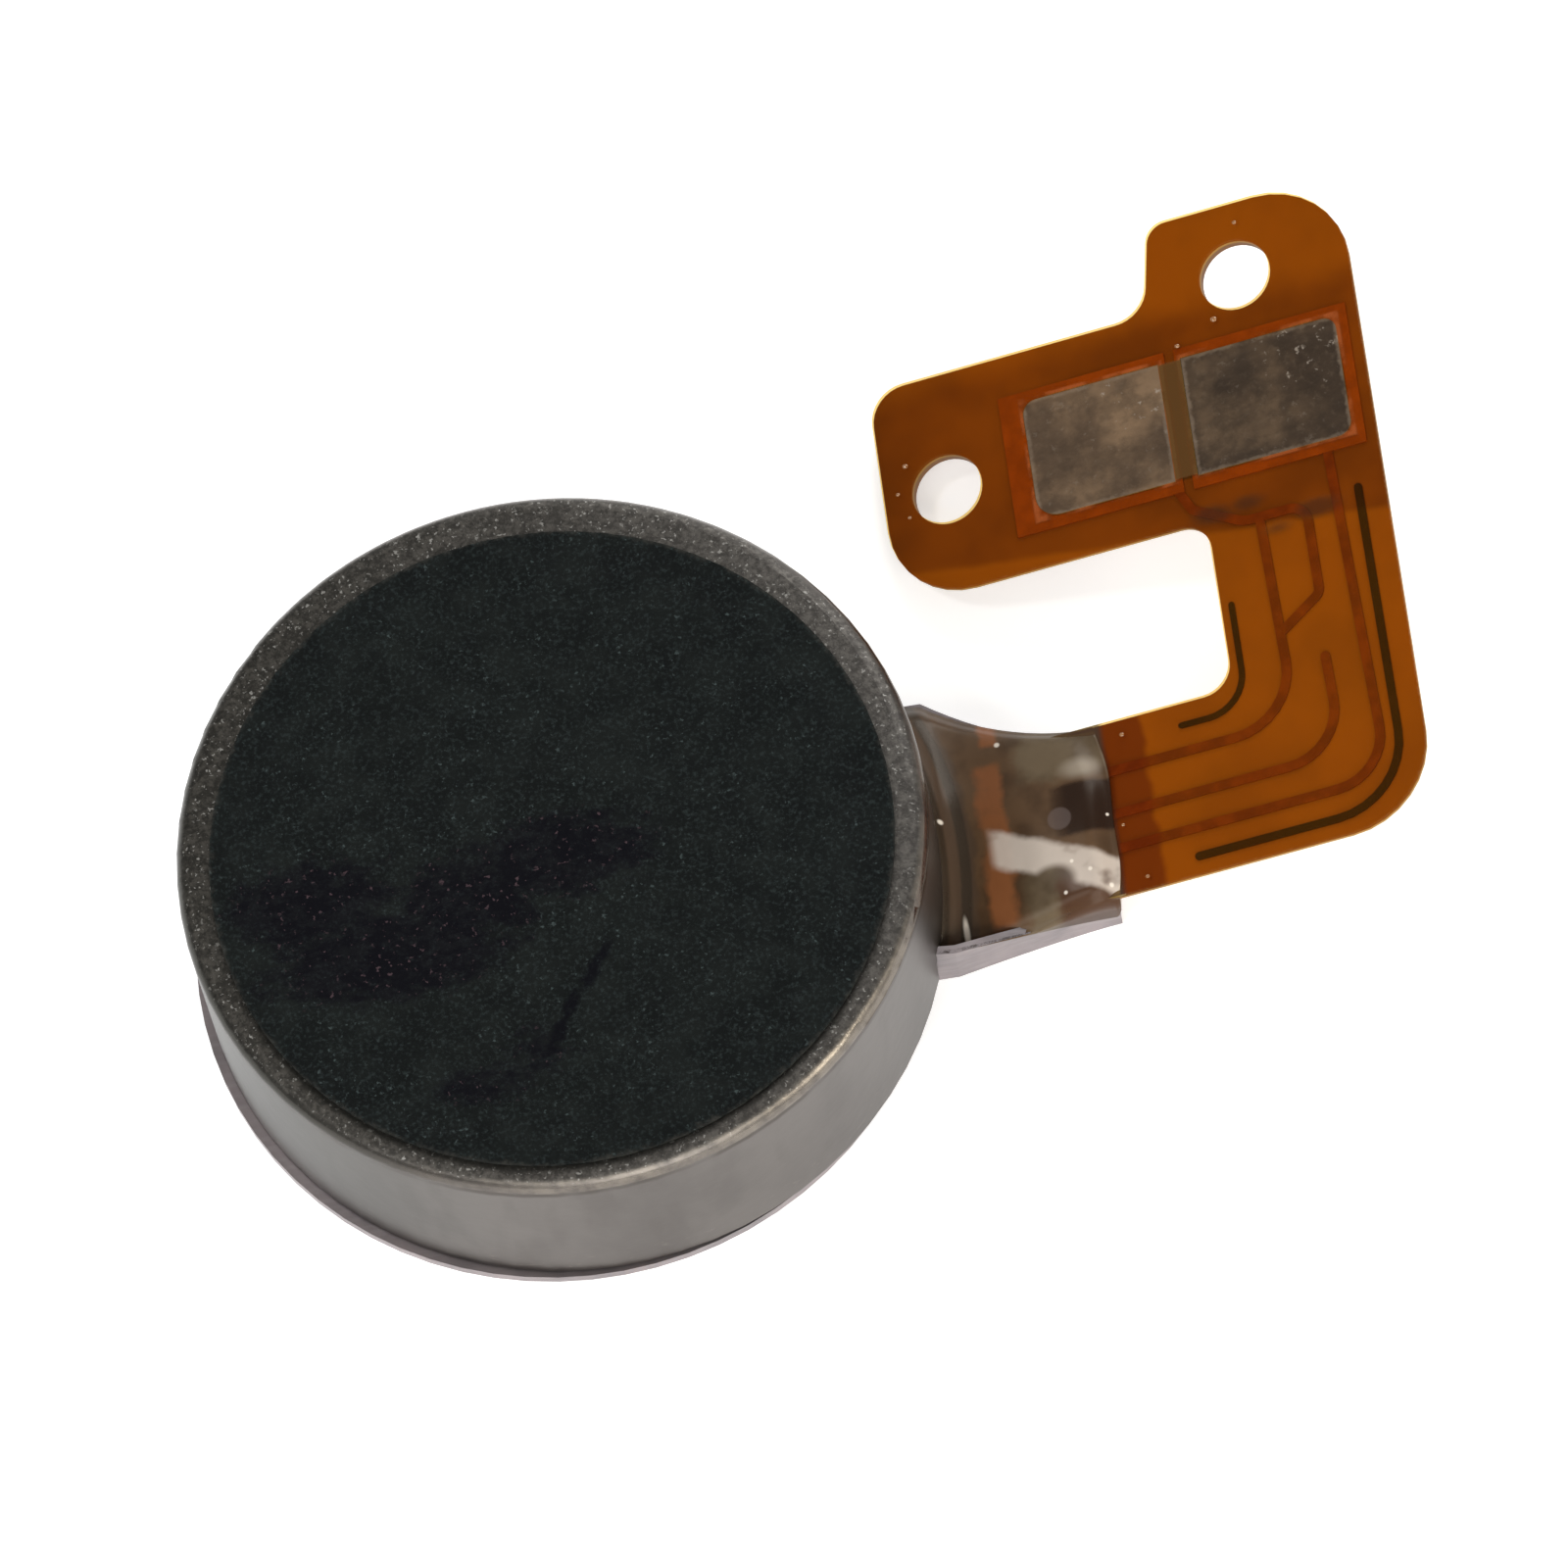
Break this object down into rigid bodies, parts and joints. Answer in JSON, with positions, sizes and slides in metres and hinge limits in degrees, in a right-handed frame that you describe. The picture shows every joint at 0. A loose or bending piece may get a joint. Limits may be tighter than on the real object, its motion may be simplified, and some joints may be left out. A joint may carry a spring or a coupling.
{
  "type": "vibration coin motor",
  "caption": "Flat round vibration motor in a steel case, with an adhesive disc on top and an amber flex lead ending in a bare contact head.",
  "frame": {"origin": "motor axis at the underside of the base plate", "axes": "+Z along the motor axis towards the adhesive disc, +X out along the lead's neck, +Y towards the contact head"},
  "size_m": [0.0167, 0.0134, 0.0032],
  "materials": {
    "case_steel": "satin, fine grained",
    "base_steel": "satin",
    "shaft_steel": "ground",
    "magnet": "nickel plated, dull",
    "washer": "matte film",
    "bond_film": "matte",
    "polyimide": "amber, glossy",
    "coverlay": "amber, glossy",
    "stiffener": "brown, matte",
    "copper": "bare copper",
    "tin": "dull tin",
    "solder": "bright",
    "brush_alloy": "sprung, bright",
    "resin": "clear, glossy",
    "tape": "charcoal, matte",
    "board": "solder mask",
    "moulding": "moulded",
    "weight": "sintered, grey",
    "bearing": "sintered",
    "winding": "enamelled wire"
  },
  "bodies": {
    "stator": {"case": "case_steel", "base_plate": "base_steel", "shaft": "shaft_steel", "ring_magnet": "magnet", "washer_lower": "washer", "washer_upper": "washer", "flex_adhesive": "bond_film", "flex_base_film": "polyimide", "track_positive": "copper", "track_negative": "copper", "track_tail": "copper", "guard_inner": "copper", "guard_outer": "copper", "pad_left": "copper", "pad_right": "copper", "pad_plating_left": "tin", "pad_plating_right": "tin", "flex_coverlay": "coverlay", "head_stiffener": "stiffener", "exit_resin": "resin", "adhesive_disc": "tape", "brush_positive": "brush_alloy", "brush_negative": "brush_alloy", "solder_positive": "solder", "solder_negative": "solder"},
    "rotor": {"rotor_board": "board", "rotor_moulding": "moulding", "rotor_weight": "weight", "rotor_bearing": "bearing", "coil_1": "winding", "coil_2": "winding", "segment_1": "copper", "segment_2": "copper", "segment_3": "copper", "segment_4": "copper", "segment_5": "copper", "segment_6": "copper"}
  },
  "joints": [
    {"name": "rotor_spin", "type": "hinge", "parent": "stator", "child": "rotor", "pos_m": [0, 0, 0.0015], "axis": [0, 0, 1], "continuous": true}
  ]
}
